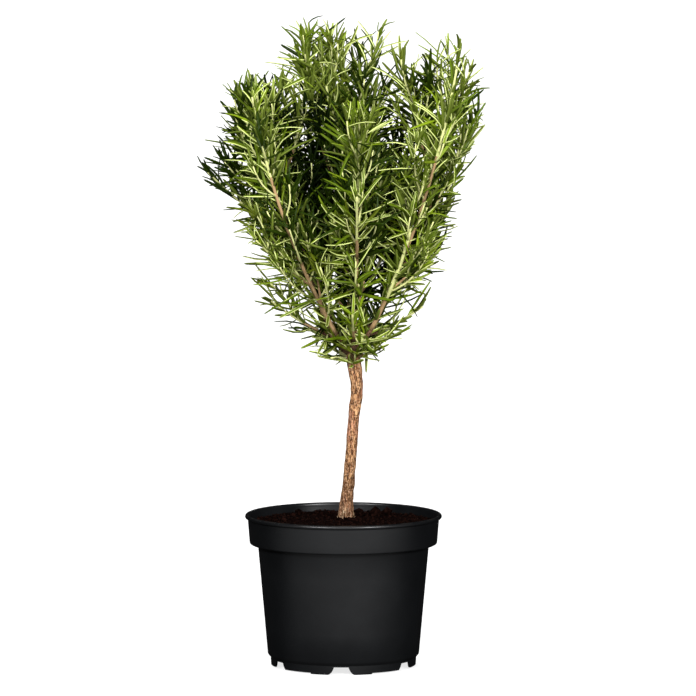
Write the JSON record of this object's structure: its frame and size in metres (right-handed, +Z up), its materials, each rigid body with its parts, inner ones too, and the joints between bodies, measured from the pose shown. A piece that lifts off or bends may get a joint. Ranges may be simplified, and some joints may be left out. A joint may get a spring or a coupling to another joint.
{
  "type": "potted rosemary standard",
  "caption": "Rosemary trained as a standard: a bare upright trunk under a loose, upswept head of needle-leaved shoots, in a round nursery pot of compost.",
  "frame": {"origin": "on the pot's axis, in the plane that its foot pads stand on, which is the middle of the underside of the bounding box", "axes": "+Z up along the trunk, +X to the right in the picture, +Y away from the viewer"},
  "size_m": [0.2704, 0.2459, 0.6262],
  "materials": {
    "pot_plastic": "black injection-moulded polypropylene, semi-matt, with a slight sheen on the rolled lip",
    "compost": "moist dark brown peat-like compost, lumpy and matt",
    "trunk_bark": "tan-brown bark that flakes in upright strips",
    "bough_bark": "brown, finely fissured bark",
    "foliage": "stiff blunt needles, deep green with a soft sheen above and paler below, on green to tan stems"
  },
  "bodies": {
    "root": {"pot": "pot_plastic", "compost": "compost", "trunk": "trunk_bark", "bough_centre": "bough_bark", "bough_left": "bough_bark", "bough_right": "bough_bark", "bough_front": "bough_bark", "bough_back": "bough_bark", "bough_front_left": "bough_bark", "bough_front_right": "bough_bark", "bough_back_left": "bough_bark", "bough_back_right": "bough_bark", "bough_left_low": "bough_bark", "bough_right_low": "bough_bark", "bough_front_low": "bough_bark", "bough_back_low": "bough_bark", "shoots_centre": "foliage", "shoots_left": "foliage", "shoots_right": "foliage", "shoots_front": "foliage", "shoots_back": "foliage", "shoots_front_left": "foliage", "shoots_front_right": "foliage", "shoots_back_left": "foliage", "shoots_back_right": "foliage", "shoots_left_low": "foliage", "shoots_right_low": "foliage", "shoots_front_low": "foliage", "shoots_back_low": "foliage", "shoots_fork_left": "foliage", "shoots_fork_right": "foliage"}
  },
  "joints": []
}
